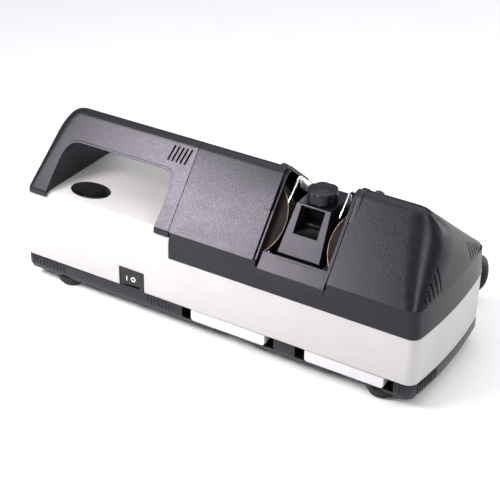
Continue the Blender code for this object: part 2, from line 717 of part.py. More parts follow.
def power_switch():
    """A rocker switch in the front wall: one side sits pressed in, and it rocks about an upright pin."""
    x, z = (-99.6, -71.4), (SKIRT_TOP + 0.9, 46.6)
    case = box("switch_case", x, (-70.5, -52.0), z, "black_abs")
    cut(case, box("rocker_room", (-98.2, -76.3), (-75, -60.5), (27.4, 43.6), helper=True))
    for index, px in enumerate((-93.0, -82.0)):
        join(case, box(f"switch_tab_{index}", (px - 2.4, px + 2.4), (-53.0, -44.0), (33.0, 33.8), helper=True))
    outline = ((-97.5, -70.9), (-87.25, -69.2), (-77.0, -69.8), (-77.6, -66.2), (-85.5, -63.2), (-89.0, -63.2), (-96.9, -66.8))
    return prism("power_rocker", outline, "Z", 28.0, 43.0, "gloss_black")


def drawer(index):
    """A shallow pull-out tray under one wheel."""
    left, width = DRAWERS[index]
    name = ("drawer_left", "drawer_right")[index]
    r = 2.2
    low, high = DRAWER_BOTTOM, DRAWER_TOP
    front = (
        (left, high),
        (left, low + r),
        (left + r * 0.3, low + r * 0.3),
        (left + r, low),
        (left + width - r, low),
        (left + width - r * 0.3, low + r * 0.3),
        (left + width, low + r),
        (left + width, high),
    )
    panel = prism(name, front, "Y", -HALF_DEPTH, -67.2, "grey_abs")
    tray = box(f"{name}_body", (left + 4, left + width - 4), (-68, 22), (low, high - 1.2), helper=True)
    join(panel, tray)
    cut(panel, box(f"{name}_room", (left + 5.6, left + width - 5.6), (-66.2, 20.4), (low + 1.6, high + 5), helper=True))
    return panel


def badge():
    """A plain domed oval badge on the flat top of the dome."""
    outline = [(21.0 * cos(2 * pi * i / 40), 14.8 * sin(2 * pi * i / 40)) for i in range(40)]
    plate = prism("oval_badge", outline, "Z", 0.0, 1.0, "gloss_black")
    plate.location = (-152.7 * MM, -40.7 * MM, (DOME_TOP + GAP) * MM)
    return plate


def capacitor():
    turned("capacitor", disc_profile(13.0, -22.0, 22.0), (-172.0, 10.0, 28.5), (0, pi / 2, 0), "grey_abs", steps=28)
    clip = (
        (-5.0, 13.3),
        (26.0, 13.3),
        (26.0, 15.0),
        (-5.0, 15.0),
    )
    prism("capacitor_clip", clip, "X", -180.0, -164.0, "steel")


def terminal_block():
    block = box("terminal_block", (-192.0, -160.0), (36.0, 50.0), (13.3, 27.0), "grey_abs")
    for index in range(3):
        hole = box(f"terminal_{index}", (-189 + 10 * index, -183 + 10 * index), (39, 47), (20, 30), helper=True)
        cut(block, hole)
    return block


def cover_screws():
    """The two screws on the rear slope that hold the wheel covers."""
    tilt = (-REAR_SLOPE, 0.0, 0.0)
    for name, x in (("cover_screw_left", 36.0), ("cover_screw_right", 131.6)):
        y = 3.0
        stop = RIDGE_Z + RIDGE_RADIUS * cos(REAR_SLOPE)
        z = stop - (y - RIDGE_Y - RIDGE_RADIUS * sin(REAR_SLOPE)) * sin(REAR_SLOPE) / cos(REAR_SLOPE)
        head = ((0.0, 3.6), (2.6, 3.6), (4.2, 2.6), (4.2, GAP), (0.0, GAP))
        turned(name, head, (x, y, z), tilt, "gloss_black", steps=20)


def cord_gland():
    """The strain relief where the lead leaves the rear wall."""
    x, y, z = GLAND
    profile = ((6.0, 6.0), (6.0, -GAP), (9.0, -GAP), (9.0, -3.4), (6.6, -5.0), (4.9, -30.0), (3.8, -30.0), (3.8, 6.0))
    return turned("cord_gland", profile, (x, y, z), (pi / 2, 0, 0), "rubber", steps=24)


def mains_cord():
    """The lead: it leaves the gland, droops to the table and ends in a coil behind the machine."""
    x, y, z = GLAND
    cx, cy = COIL
    r = COIL_RADIUS
    low = CORD_RADIUS + 0.3
    bend = 28.0
    knots = [(x, y - 6.0, z), (x, y + 12.0, z), (x, y + 31.0, z)]
    for i in range(1, 6):
        angle = radians(18 * i)
        knots.append((x, y + 31.0 + bend * sin(angle), z - bend * (1 - cos(angle))))
    side = y + 31.0 + bend
    for i in range(1, 6):
        angle = radians(18 * i)
        knots.append((x - bend * (1 - cos(angle)), side, z - bend - (z - bend - low) * sin(angle)))
    knots += [(x - 46.0, side, low), (x - 76.0, side - 8.0, low), (cx + 62.0, cy - r - 7.0, low), (cx + 44.0, cy - r - 12.6, low)]
    tube("power_cord", smooth_route(knots, 8.0), CORD_RADIUS, "cable", 3)
    coil = ring_profile(r + 7.0, r - 7.0, 0.2, 21.0)
    turned("cord_coil", coil, (cx, cy, 0), (0, 0, 0), "cable", steps=36)


def plug():
    """A moulded two-pin plug lying beside the coil, where its last turn ends."""
    cx, cy = COIL[0] - 74.0, COIL[1] - COIL_RADIUS - 3.6
    outline = ((-17, -9), (10, -10), (18, -6), (18, 6), (10, 10), (-17, 9), (-19, 6), (-19, -6))
    body = prism("mains_plug", [(cx + a, cy + b) for a, b in outline], "Z", 0.3, 18.0, "rubber")
    for index, dy in enumerate((-6.0, 6.0)):
        pin = box(f"plug_pin_{index}", (cx - 33, cx - 18), (cy + dy - 1.8, cy + dy + 1.8), (7.0, 11.0), helper=True)
        join(body, pin)
    return body


def inner_wires():
    """Leads from the terminal block to the switch and the motor."""
    switch = ((-176, 43, 27.5), (-176, 42, 34), (-174, 28, 48), (-150, -30, 60), (-110, -46, 46), (-93, -38, 36), (-93, -43.6, 34.2))
    tube("switch_lead", smooth_route(switch, 9.0), 1.6, "copper", 2)
    motor_lead = ((-166, 43, 27.5), (-165.5, 42, 34), (-162, 32, 46), (-153, 12, 55), (-144.0, 2.0, 55.0))
    tube("motor_lead", smooth_route(motor_lead, 8.0), 1.6, "copper", 2)


base_tray()
feet()
body_shell()
handle_cover()
centre_cover()
end_cover()
wheel_housing()
guide_block()
knob()
guide_strap("guide_strap_left", 60.0, -1)
guide_strap("guide_strap_right", 111.0, 1)
wheel(0)
wheel(1)
spindle_carrier()
motor()
motor_bracket()
drive_belt()
power_switch()
drawer(0)
drawer(1)
badge()
capacitor()
terminal_block()
cover_screws()
cord_gland()
mains_cord()
plug()
inner_wires()
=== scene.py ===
"""Two-wheel electric knife sharpener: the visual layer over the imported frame."""
import json
from math import atan2, cos, pi, radians, sin, tan

import bmesh
import bpy
import numpy as np
from mathutils import Matrix, Vector


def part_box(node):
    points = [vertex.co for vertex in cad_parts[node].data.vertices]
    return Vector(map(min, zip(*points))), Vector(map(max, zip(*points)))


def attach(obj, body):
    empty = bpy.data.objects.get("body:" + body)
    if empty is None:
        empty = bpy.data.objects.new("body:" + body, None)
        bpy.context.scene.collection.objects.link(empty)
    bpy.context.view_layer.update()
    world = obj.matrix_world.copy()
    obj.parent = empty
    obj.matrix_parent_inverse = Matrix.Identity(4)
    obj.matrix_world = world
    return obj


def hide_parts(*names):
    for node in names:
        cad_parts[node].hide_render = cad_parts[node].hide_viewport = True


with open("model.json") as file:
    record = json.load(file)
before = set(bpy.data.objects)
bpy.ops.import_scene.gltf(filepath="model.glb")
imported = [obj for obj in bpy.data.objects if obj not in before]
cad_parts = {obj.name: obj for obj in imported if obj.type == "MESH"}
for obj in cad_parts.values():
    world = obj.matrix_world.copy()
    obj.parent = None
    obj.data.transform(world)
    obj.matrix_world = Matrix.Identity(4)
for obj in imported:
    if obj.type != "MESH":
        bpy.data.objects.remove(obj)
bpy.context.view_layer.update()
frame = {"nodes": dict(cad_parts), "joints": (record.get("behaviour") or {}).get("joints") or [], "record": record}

NODES = frame["nodes"]
MM = 0.001

# Shape of the covers, in millimetres, as in the CAD.
FRONT_SLOPE = radians(50.7)
REAR_SLOPE = radians(39.6)
RIDGE_RADIUS = 9.3
RIDGE_Y, RIDGE_Z = -11.5, 158.0
CREASE = 100.9
SEAM_X = -42.4
DOME_TOP = 98.5
WALL = 2.6


def box_mm(node):
    low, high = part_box(node)
    return low / MM, high / MM


# ---------------------------------------------------------------- materials
class Nodes:
    """Short calls for building a node tree."""

    def __init__(self, name):
        self.material = bpy.data.materials.new(name)
        self.material.use_nodes = True
        self.tree = self.material.node_tree
        self.shader = self.tree.nodes["Principled BSDF"]
        self.place = self.add("ShaderNodeTexCoord").outputs["Object"]

    def add(self, kind, **values):
        node = self.tree.nodes.new(kind)
        for key, value in values.items():
            setattr(node, key, value)
        return node

    def feed(self, socket, value):
        if isinstance(value, bpy.types.NodeSocket):
            self.tree.links.new(value, socket)
        else:
            socket.default_value = value

    def noise(self, scale, detail=2.0, rough=0.5, place=None, stretch=None):
        source = place or self.place
        if stretch:
            mapping = self.add("ShaderNodeMapping")
            mapping.inputs["Scale"].default_value = stretch
            self.feed(mapping.inputs["Vector"], source)
            source = mapping.outputs["Vector"]
        node = self.add("ShaderNodeTexNoise")
        node.inputs["Scale"].default_value = scale
        node.inputs["Detail"].default_value = detail
        node.inputs["Roughness"].default_value = rough
        self.feed(node.inputs["Vector"], source)
        return node.outputs["Fac"]

    def ramp(self, value, low, high, out_low=0.0, out_high=1.0):
        node = self.add("ShaderNodeMapRange")
        self.feed(node.inputs["Value"], value)
        for key, number in (("From Min", low), ("From Max", high), ("To Min", out_low), ("To Max", out_high)):
            node.inputs[key].default_value = number
        return node.outputs["Result"]

    def math(self, operation, a, b=0.0):
        node = self.add("ShaderNodeMath", operation=operation)
        self.feed(node.inputs[0], a)
        self.feed(node.inputs[1], b)
        return node.outputs[0]

    def mix(self, share, a, b):
        node = self.add("ShaderNodeMix", data_type="RGBA")
        self.feed(node.inputs[0], share)
        for socket, value in ((node.inputs[6], a), (node.inputs[7], b)):
            self.feed(socket, value if isinstance(value, bpy.types.NodeSocket) else (*value, 1.0))
        return node.outputs[2]

    def edge(self, radius):
        """(rounded normal, how near an edge the point is)."""
        bevel = self.add("ShaderNodeBevel", samples=4)
        bevel.inputs["Radius"].default_value = radius
        geometry = self.add("ShaderNodeNewGeometry")
        dot = self.add("ShaderNodeVectorMath", operation="DOT_PRODUCT")
        self.feed(dot.inputs[0], bevel.outputs[0])
        self.feed(dot.inputs[1], geometry.outputs["True Normal"])
        return bevel.outputs[0], self.ramp(dot.outputs["Value"], 0.995, 0.86)

    def bump(self, height, strength, distance, normal=None):
        node = self.add("ShaderNodeBump")
        node.inputs["Strength"].default_value = strength
        node.inputs["Distance"].default_value = distance
        self.feed(node.inputs["Height"], height)
        if normal is not None:
            self.feed(node.inputs["Normal"], normal)
        return node.outputs["Normal"]

    def done(self, colour, roughness, normal, metallic=0.0, specular=0.5, tint=(1.0, 1.0, 1.0)):
        self.feed(self.shader.inputs["Base Color"], colour)
        self.feed(self.shader.inputs["Roughness"], roughness)
        self.feed(self.shader.inputs["Normal"], normal)
        self.shader.inputs["Metallic"].default_value = metallic
        self.shader.inputs["Specular IOR Level"].default_value = specular
        self.shader.inputs["Specular Tint"].default_value = (*tint, 1.0)
        return self.material


def moulded(name, dark, light, roughness, grain=1500.0, depth=0.00006, strength=0.35, edge=0.0007, speck=0.0, wear=None, specular=0.5, tint=(1.0, 1.0, 1.0)):
    """Moulded plastic: spark-eroded grain, cloudy tone, slightly polished edges and handling marks."""
    n = Nodes(name)
    normal, near = n.edge(edge)
    cloud = n.noise(22.0, 3.0, 0.6)
    fine = n.noise(grain, 2.0, 0.6)
    mottle = n.noise(grain * 0.42, 1.5, 0.6)
    tone = n.mix(n.ramp(cloud, 0.35, 0.65), dark, light)
    if speck:
        brighter = tuple(min(c * (1 + speck), 1.0) for c in light)
        tone = n.mix(n.ramp(mottle, 0.50, 0.78), tone, brighter)
    if wear:
        tone = n.mix(n.math("MULTIPLY", near, 0.5), tone, wear)
    rub = n.noise(46.0, 4.0, 0.65, stretch=(1.0, 2.2, 1.0))
    rough = n.math("ADD", n.ramp(rub, 0.3, 0.7, roughness - 0.02, roughness + 0.02), n.ramp(mottle, 0.35, 0.65, -0.035, 0.035))
    rough = n.math("ADD", rough, n.math("MULTIPLY", near, -0.10))
    height = n.math("ADD", fine, n.math("MULTIPLY", mottle, 1.6))
    return n.done(tone, rough, n.bump(height, strength, depth, normal), specular=specular, tint=tint)


def metal(name, dark, light, roughness, streak=(1.0, 1.0, 1.0), scale=900.0, depth=0.00002, edge=0.0004):
    """Metal with fine machining streaks, faint staining and softened edges."""
    n = Nodes(name)
    normal, _ = n.edge(edge)
    lines = n.noise(scale, 3.0, 0.6, stretch=streak)
    stain = n.noise(60.0, 4.0, 0.6)
    tone = n.mix(n.ramp(stain, 0.3, 0.7), dark, light)
    rough = n.math("ADD", n.ramp(lines, 0.3, 0.7, roughness * 0.75, roughness * 1.3), n.ramp(stain, 0.45, 0.8, 0.0, 0.08))
    return n.done(tone, rough, n.bump(lines, 0.3, depth, normal), metallic=1.0)


def bonded_abrasive(name):
    """Bonded grit: maroon binder with pale and dark grains and worn, clogged patches."""
    n = Nodes(name)
    grit = n.add("ShaderNodeTexVoronoi")
    grit.inputs["Scale"].default_value = 1500.0
    n.feed(grit.inputs["Vector"], n.place)
    grain = grit.outputs["Distance"]
    clog = n.noise(70.0, 4.0, 0.65)
    tone = n.mix(n.ramp(clog, 0.35, 0.7), (0.010, 0.0050, 0.0048), (0.0055, 0.0038, 0.0036))
    tone = n.mix(n.ramp(grain, 0.22, 0.02), tone, (0.024, 0.016, 0.014))
    rough = n.ramp(clog, 0.3, 0.7, 0.62, 0.88)
    return n.done(tone, rough, n.bump(grain, 0.7, 0.00010), specular=0.22)


def rubbery(name, dark, light, roughness):
    n = Nodes(name)
    normal, _ = n.edge(0.0006)
    dust = n.noise(90.0, 4.0, 0.7)
    fine = n.noise(1900.0, 2.0, 0.6)
    tone = n.mix(n.ramp(dust, 0.45, 0.8), dark, light)
    return n.done(tone, n.ramp(dust, 0.3, 0.7, roughness - 0.06, roughness + 0.08), n.bump(fine, 0.3, 0.00004, normal), specular=0.35)


def winding(name):
    n = Nodes(name)
    wire = n.add("ShaderNodeTexWave")
    wire.inputs["Scale"].default_value = 260.0
    wire.inputs["Distortion"].default_value = 1.6
    n.feed(wire.inputs["Vector"], n.place)
    tone = n.mix(wire.outputs["Fac"], (0.20, 0.07, 0.03), (0.62, 0.27, 0.13))
    return n.done(tone, n.ramp(n.noise(300.0), 0.3, 0.7, 0.25, 0.45), n.bump(wire.outputs["Fac"], 0.6, 0.0002), metallic=0.9)


def laminated(name):
    n = Nodes(name)
    sheet = n.noise(1.0, 1.0, 0.5, stretch=(40.0, 900.0, 900.0))
    tone = n.mix(n.ramp(sheet, 0.3, 0.7), (0.16, 0.16, 0.17), (0.34, 0.34, 0.36))
    return n.done(tone, n.ramp(n.noise(120.0), 0.3, 0.7, 0.35, 0.55), n.bump(sheet, 0.5, 0.0001), metallic=1.0)


# painted reflection colour: this lilac tints the black plastic's reflections, standing in for lavender light in the
# sheen of its lit surfaces
LILAC_SHEEN_TINT = (0.93, 0.885, 1.0)
LOOKS = {
    "black_abs": moulded("black_abs", (0.0034, 0.0032, 0.0042), (0.0050, 0.0047, 0.0060), 0.33, depth=0.00008, strength=0.5, speck=0.8, wear=(0.018, 0.017, 0.021), specular=0.38, tint=LILAC_SHEEN_TINT),
    "black_gloss_abs": moulded("black_gloss_abs", (0.005, 0.005, 0.0056), (0.007, 0.007, 0.0078), 0.30, depth=0.00004, strength=0.25, speck=0.3, wear=(0.02, 0.02, 0.021), specular=0.42),
    "white_abs": moulded("white_abs", (0.520, 0.503, 0.492), (0.545, 0.528, 0.516), 0.48, grain=1100.0, strength=0.10, edge=0.0012, specular=0.35),
    "grey_abs": moulded("grey_abs", (0.62, 0.605, 0.615), (0.66, 0.645, 0.655), 0.42, grain=1100.0, strength=0.12),
    "gloss_black": moulded("gloss_black", (0.004, 0.004, 0.005), (0.007, 0.007, 0.0078), 0.12, grain=500.0, depth=0.00002, strength=0.06, specular=0.4),
    "rubber": rubbery("rubber", (0.010, 0.010, 0.011), (0.022, 0.021, 0.021), 0.66),
    "chrome": metal("chrome", (0.90, 0.90, 0.91), (0.97, 0.97, 0.98), 0.16, streak=(1.0, 0.15, 0.15), scale=1500.0),
    "steel": metal("steel", (0.42, 0.42, 0.43), (0.60, 0.60, 0.61), 0.30),
    "aluminium": metal("aluminium", (0.30, 0.30, 0.31), (0.42, 0.42, 0.43), 0.42),
    "abrasive": bonded_abrasive("abrasive"),
    "copper": winding("copper"),
    "lamination": laminated("lamination"),
    "cable": rubbery("cable", (0.010, 0.010, 0.011), (0.018, 0.018, 0.019), 0.45),
    "rim": metal("rim", (0.12, 0.075, 0.060), (0.24, 0.165, 0.140), 0.36),
    "mark": moulded("mark", (0.82, 0.82, 0.80), (0.90, 0.90, 0.88), 0.45, grain=900.0, strength=0.1),
    # painted shade: a near-black, almost unreflective material for the sheet that darkens the block's pocket
    "painted_shade_black": moulded("painted_shade_black", (0.0016, 0.0016, 0.0018), (0.0024, 0.0024, 0.0028), 0.62, strength=0.15, specular=0.08),
}


# ---------------------------------------------------------------- mesh helpers
def place_object(name, mesh, look, body="base", smooth=35.0):
    item = bpy.data.objects.new(name, mesh)
    bpy.context.scene.collection.objects.link(item)
    mesh.materials.append(LOOKS[look])
    if smooth is not None:
        mesh.shade_smooth()
        if smooth < 180:
            mesh.set_sharp_from_angle(angle=radians(smooth))
    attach(item, body)
    return item


def from_faces(name, points, faces):
    mesh = bpy.data.meshes.new(name)
    mesh.from_pydata([tuple(p) for p in points], [], faces)
    bm = bmesh.new()
    bm.from_mesh(mesh)
    bmesh.ops.remove_doubles(bm, verts=bm.verts, dist=1e-6)
    bmesh.ops.recalc_face_normals(bm, faces=bm.faces)
    bm.to_mesh(mesh)
    bm.free()
    return mesh


def loft(rings, closed=True, caps=True):
    """(points, faces) of a skin through rings of points in millimetres, each the same length."""
    count = len(rings[0])
    points = [Vector(p) * MM for ring in rings for p in ring]
    faces = []
    for r in range(len(rings) - 1):
        for i in range(count if closed else count - 1):
            j = (i + 1) % count
            a, b = r * count, (r + 1) * count
            faces.append((a + i, a + j, b + j, b + i))
    if caps:
        faces.append(tuple(range(count)))
        faces.append(tuple(range((len(rings) - 1) * count, len(rings) * count)))
    return points, faces


def extruded(name, outline, axis, start, end):
    """A flat outline across an axis, from start to end along it, in millimetres."""
    order = {"X": lambda a, b, c: (c, a, b), "Y": lambda a, b, c: (a, c, b), "Z": lambda a, b, c: (a, b, c)}[axis]
    rings = [[order(a, b, c) for a, b in outline] for c in (start, end)]
    return from_faces(name, *loft(rings))


def turned(name, profile, centre, axis=(0, 0, 1), steps=64, wobble=None):
    """A closed profile of (radius, height) turned about an axis through centre, in millimetres."""
    turn = Vector((0, 0, 1)).rotation_difference(Vector(axis)).to_matrix()
    rings = []
    for k in range(steps):
        angle = 2 * pi * k / steps
        ring = []
        for r, h in profile:
            grow = wobble(angle, r, h) if wobble else 0.0
            ring.append(Vector(centre) + turn @ Vector(((r + grow) * cos(angle), (r + grow) * sin(angle), h)))
        rings.append(ring)
    rings.append(rings[0])
    return from_faces(name, *loft(rings, closed=False, caps=False))


def rounded_box(low, high, radius, segments=3):
    bm = bmesh.new()
    bmesh.ops.create_cube(bm, size=1.0)
    size = [(b - a) * MM for a, b in zip(low, high)]
    middle = [(a + b) / 2 * MM for a, b in zip(low, high)]
    bmesh.ops.scale(bm, verts=bm.verts, vec=size)
    bmesh.ops.translate(bm, verts=bm.verts, vec=middle)
    bmesh.ops.bevel(bm, geom=bm.edges, offset=radius * MM, segments=segments, affect="EDGES", profile=0.5)
    return bm


def to_mesh(name, bm):
    mesh = bpy.data.meshes.new(name)
    bmesh.ops.recalc_face_normals(bm, faces=bm.faces)
    bm.to_mesh(mesh)
    bm.free()
    return mesh


def carve(item, cutters, operation="DIFFERENCE"):
    """Cuts meshes out of an object and keeps the result in its mesh."""
    for mesh in cutters:
        tool = bpy.data.objects.new("tool", mesh)
        bpy.context.scene.collection.objects.link(tool)
        step = item.modifiers.new("carve", "BOOLEAN")
        step.operation, step.solver, step.object = operation, "EXACT", tool
        bpy.context.view_layer.update()
        graph = bpy.context.evaluated_depsgraph_get()
        made = bpy.data.meshes.new_from_object(item.evaluated_get(graph))
        item.modifiers.clear()
        old = item.data
        item.data = made
        bpy.data.meshes.remove(old)
        bpy.data.objects.remove(tool)
    return item


def resmooth(item, angle=35.0):
    item.data.shade_smooth()
    item.data.set_sharp_from_angle(angle=radians(angle))
    return item


def rounded_outline(points, radius, steps=5):
    """A closed outline with its corners rounded; radius may be one number or one for each corner."""
    count = len(points)
    radii = radius if hasattr(radius, "__len__") else [radius] * count
    made = []
    for i, (x, y) in enumerate(points):
        r = radii[i]
        here = Vector((x, y))
        a, b = Vector(points[i - 1]) - here, Vector(points[(i + 1) % count]) - here
        if r <= 0:
            made.append(tuple(here))
            continue
        half = a.angle(b) / 2
        reach = min(r / tan(half), a.length * 0.49, b.length * 0.49)
        p, q = here + a.normalized() * reach, here + b.normalized() * reach
        for k in range(steps + 1):
            t = k / steps
            made.append(tuple(p * (1 - t) ** 2 + here * 2 * t * (1 - t) + q * t**2))
    return made


# ---------------------------------------------------------------- covers as rounded solids
def smooth_max(a, b, k):
    h = np.maximum(k - np.abs(a - b), 0.0) / k
    return np.maximum(a, b) + h * h * k / 4


def roof(p):
    """Distance outside the covers' cross-section: two slopes round a ridge."""
    y, z = p[..., 1] - RIDGE_Y, p[..., 2] - RIDGE_Z
    front = -y * sin(FRONT_SLOPE) + z * cos(FRONT_SLOPE)
    rear = y * sin(REAR_SLOPE) + z * cos(REAR_SLOPE)
    angle = np.arctan2(y, np.maximum(z, 1e-6))
    in_ridge = (z > 0) & (angle > -FRONT_SLOPE) & (angle < REAR_SLOPE)
    return np.where(in_ridge, np.hypot(y, z), np.maximum(front, rear)) - RIDGE_RADIUS


def plane(p, place, normal):
    n = np.array(Vector(normal).normalized())
    return (p - np.array(place)) @ n


def end_shape(p):
    """The end cover: the roof, a leaning bowed end and two soft hips."""
    y, z = p[..., 1], p[..., 2]
    lean = (p[..., 0] - (213.5 - 4.0 * (y / 62.0) ** 2 - (z - 100.6) * 0.1945)) * 0.98
    up = np.clip((z - 100.0) / 60.0, 0.0, 1.0)
    body = smooth_max(roof(p), lean, 4.0 + 17.0 * up)
    ease = 4.2 * (1.0 - up) ** 3
    front = plane(p, (202.5, -58.5, 113.0), (0.80, -0.47, 0.385)) - ease
    rear = plane(p, (202.5, 58.5, 108.0), (0.80, 0.40, 0.46)) - ease
    body = smooth_max(body, front, 7.0 + 16.0 * up)
    return smooth_max(body, rear, 7.0 + 16.0 * up)


def handle_shape(p):
    """The handle cover: the roof with a leaning end."""
    z = p[..., 2]
    lean = plane(p, (-205.2, 0.0, 103.0), (-0.9903, 0.0, 0.139))
    top = plane(p, (-193.6, 0.0, 162.4), (-0.66, 0.0, 0.75))
    side = np.abs(p[..., 1]) - 70.0
    up = np.clip((z - 104.0) / 60.0, 0.0, 1.0)
    body = smooth_max(smooth_max(roof(p), side, 0.6), lean, 3.5 + 9.0 * up)
    return smooth_max(body, top, 9.0)


def skin(shape, spine_from, spine_to, base_z, spine_y, spine_steps, end_steps, direction, depth=0.0):
    """Grid of points of the open skin above base_z, that depth below the shape, along a spine and round its far end."""
    window = 0.17
    centre = pi - atan2(167.0 - base_z, RIDGE_Y - spine_y)
    thetas = np.concatenate([
        np.linspace(0.0, 0.14, 18, endpoint=False),
        np.linspace(0.14, centre - window, 28, endpoint=False),
        np.linspace(centre - window, centre + window, 34, endpoint=False),
        np.linspace(centre + window, pi - 0.14, 28, endpoint=False),
        np.linspace(pi - 0.14, pi, 18),
    ])
    rows = []
    for x in np.linspace(spine_from, spine_to, spine_steps, endpoint=False):
        rows.append((x, 0.0))
    for phi in np.linspace(0.0, pi / 2, end_steps):
        rows.append((spine_to, phi))
    origin = np.array([[(x, spine_y, base_z)] * len(thetas) for x, _ in rows])
    heading = np.array([
        [(direction * sin(phi), -cos(t) * cos(phi), sin(t) * cos(phi)) for t in thetas] for _, phi in rows
    ])
    low = np.zeros(heading.shape[:2])
    high = np.full(heading.shape[:2], 160.0)
    for _ in range(34):
        mid = (low + high) / 2
        outside = shape(origin + heading * mid[..., None]) > -depth
        high = np.where(outside, mid, high)
        low = np.where(outside, low, mid)
    return origin + heading * low[..., None]


def shell_object(name, shape, span, look, body, thickness=WALL):
    """The closed wall between a skin and the same skin one wall thickness further in."""
    outer, inner = skin(shape, *span), skin(shape, *span, depth=thickness)
    rows, count = outer.shape[:2]
    size = rows * count
    points = [Vector(p) * MM for p in np.concatenate([outer.reshape(-1, 3), inner.reshape(-1, 3)])]
    faces = []
    for r in range(rows - 1):
        a = r * count
        for i in range(a, a + count - 1):
            faces.append((i, i + 1, i + count + 1, i + count))
            faces.append(tuple(size + k for k in (i + count, i + count + 1, i + 1, i)))
        for i in (a, a + count - 1):
            faces.append((i, i + count, size + i + count, size + i))
    for i in range(count - 1):
        faces.append((i, i + 1, size + i + 1, size + i))
    return place_object(name, from_faces(name, points, faces), look, body)


def end_cover():
    item = shell_object("end_cover_skin", end_shape, (122.0, 168.0, CREASE, -9.0, 10, 60, 1.0), "black_abs", "base")
    cutters = []
    for index in range(5):
        y = 55.0 - 6.0 * index
        bottom, top = 102.5 + 0.4 * index, 108.0 + 4.6 * index
        for side in (-1, 1):
            near = 199.0 if side < 0 else 205.5
            slot = extruded("vent", rounded_outline(((near, bottom), (222, bottom), (222, top), (near, top)), 0.6, 3), "Y", side * y - 0.95, side * y + 0.95)
            cutters.append(slot)
    carve(item, cutters)
    resmooth(item)
    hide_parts("end_cover")
    return item


def handle_cover():
    item = shell_object("handle_cover_skin", handle_shape, (SEAM_X - 0.35, -150.0, 95.6, -9.0, 26, 64, -1.0), "black_abs", "base")
    opening = rounded_outline(((-186.3, 80), (-181.4, 143.4), (-58.0, 143.4), (-57.2, 120), (-60.0, 80)), (0, 17.0, 13.0, 16.0, 0), 8)
    cutters = [extruded("hand_opening", opening, "Y", -95, 95)]
    for index in range(5):
        x = -69.5 + 4.6 * index
        outline = rounded_outline(((x - 1.0, 150.2), (x + 0.6, 150.2), (x + 3.6, 162.0), (x + 2.0, 162.0)), 0.5, 3)
        cutters.append(extruded("vent", outline, "Y", -60, -16))
    carve(item, cutters)
    resmooth(item)
    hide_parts("handle_cover")
    inner_sleeve()
    return item


def inner_sleeve():
    """The walls of the hand opening, which close the handle's hollow."""
    outline = rounded_outline(((-186.3, 95), (-181.4, 143.4), (-58.0, 143.4), (-57.2, 120), (-59.0, 95)), (0, 17.0, 13.0, 16.0, 0), 8)
    grown = rounded_outline(((-188.3, 95), (-183.4, 145.4), (-56.0, 145.4), (-55.2, 120), (-57.0, 95)), (0, 19.0, 15.0, 17.0, 0), 8)

    def depth(z):
        front = RIDGE_Y - (RIDGE_RADIUS / sin(FRONT_SLOPE)) - (RIDGE_Z - z) * 1.0 / tan(FRONT_SLOPE)
        rear = RIDGE_Y + (RIDGE_RADIUS / sin(REAR_SLOPE)) + (RIDGE_Z - z) * 1.0 / tan(REAR_SLOPE)
        return max(front, -70.0) + 1.2, min(rear, 70.0) - 1.2

    rings = []
    for k in range(9):
        t = k / 8
        ring = []
        for x, z in outline:
            a, b = depth(z)
            ring.append((x, a + (b - a) * t, z))
        rings.append(ring)
    for k in range(8, -1, -1):
        t = k / 8
        ring = []
        for (x, z), (gx, gz) in zip(outline, grown):
            a, b = depth(z)
            ring.append((gx, a + (b - a) * t, gz))
        rings.append(ring)
    rings.append(rings[0])
    points, faces = loft(rings, closed=False, caps=False)
    return place_object("hand_opening_walls", from_faces("hand_opening_walls", points, faces), "black_abs", "base", 50.0)


# ---------------------------------------------------------------- body
def plan_end(corner, inset, corner_steps=12, bow_steps=14):
    half, end = 70.0 - inset, 211.0 - inset
    radius = max(corner - inset * 0.6, 2.0)
    side = []
    for i in range(corner_steps + 1):
        angle = radians(-90 + 78 * i / corner_steps)
        side.append((end - radius + radius * cos(angle), -half + radius + radius * sin(angle)))
    last = side[-1]
    for i in range(1, bow_steps):
        y = last[1] * (1 - 2 * i / bow_steps)
        side.append((last[0] + 4.0 * (1 - (y / last[1]) ** 2), y))
    return side + [(x, -y) for x, y in reversed(side[: corner_steps + 1])]


def plan(inset):
    """The outline seen from above: bowed ends, softer corners at the right."""
    return plan_end(10.0, inset) + [(-x, -y) for x, y in plan_end(4.0, inset)]


def stack(name, rings):
    return from_faces(name, *loft([[(x, y, z) for x, y in plan(inset)] for z, inset in rings]))


def body_shell():
    low, _ = box_mm("body_shell")
    rings = [(low.z, 0.7), (low.z + 0.5, 0.25), (low.z + 1.2, 0.0), (60.0, 0.0), (84.0, 0.0)]
    for k in range(1, 13):
        angle = radians(7.5 * k)
        rings.append((DOME_TOP - 11.0 + 11.0 * sin(angle), 9.0 - 9.0 * cos(angle)))
    item = place_object("body_shell_skin", stack("body_shell_skin", rings), "white_abs", "base", 60.0)
    step = extruded("step", ((SEAM_X - 0.3, 73.0), (240, 73.0), (240, 120), (SEAM_X - 0.3, 120)), "Y", -95, 95)
    hollow = stack("hollow", ((low.z - 5, 2.6), (84.0, 2.6), (94.0, 8.0)))
    switch = extruded("switch_hole", ((-99.9, 10), (-71.1, 10), (-71.1, 46.9), (-99.9, 46.9)), "Y", -80, -60)
    carve(item, [step, hollow, switch])
    resmooth(item, 40.0)
    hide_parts("body_shell")
    return item


def badge():
    low, high = box_mm("oval_badge")
    centre, half = (low + high) / 2, (high - low) / 2
    rings = []
    for share, height in ((1.0, 0.0), (1.0, 0.45), (0.985, 0.72), (0.95, 0.84), (0.925, 0.74), (0.90, 0.84), (0.6, 0.96), (0.3, 1.0), (0.02, 1.0)):
        ring = []
        for k in range(96):
            angle = 2 * pi * k / 96
            ring.append((centre.x + half.x * share * cos(angle), centre.y + half.y * share * sin(angle), low.z + 2 * half.z * height))
        rings.append(ring)
    item = place_object("oval_badge_lens", from_faces("oval_badge_lens", *loft(rings)), "gloss_black", "base", 50.0)
    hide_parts("oval_badge")


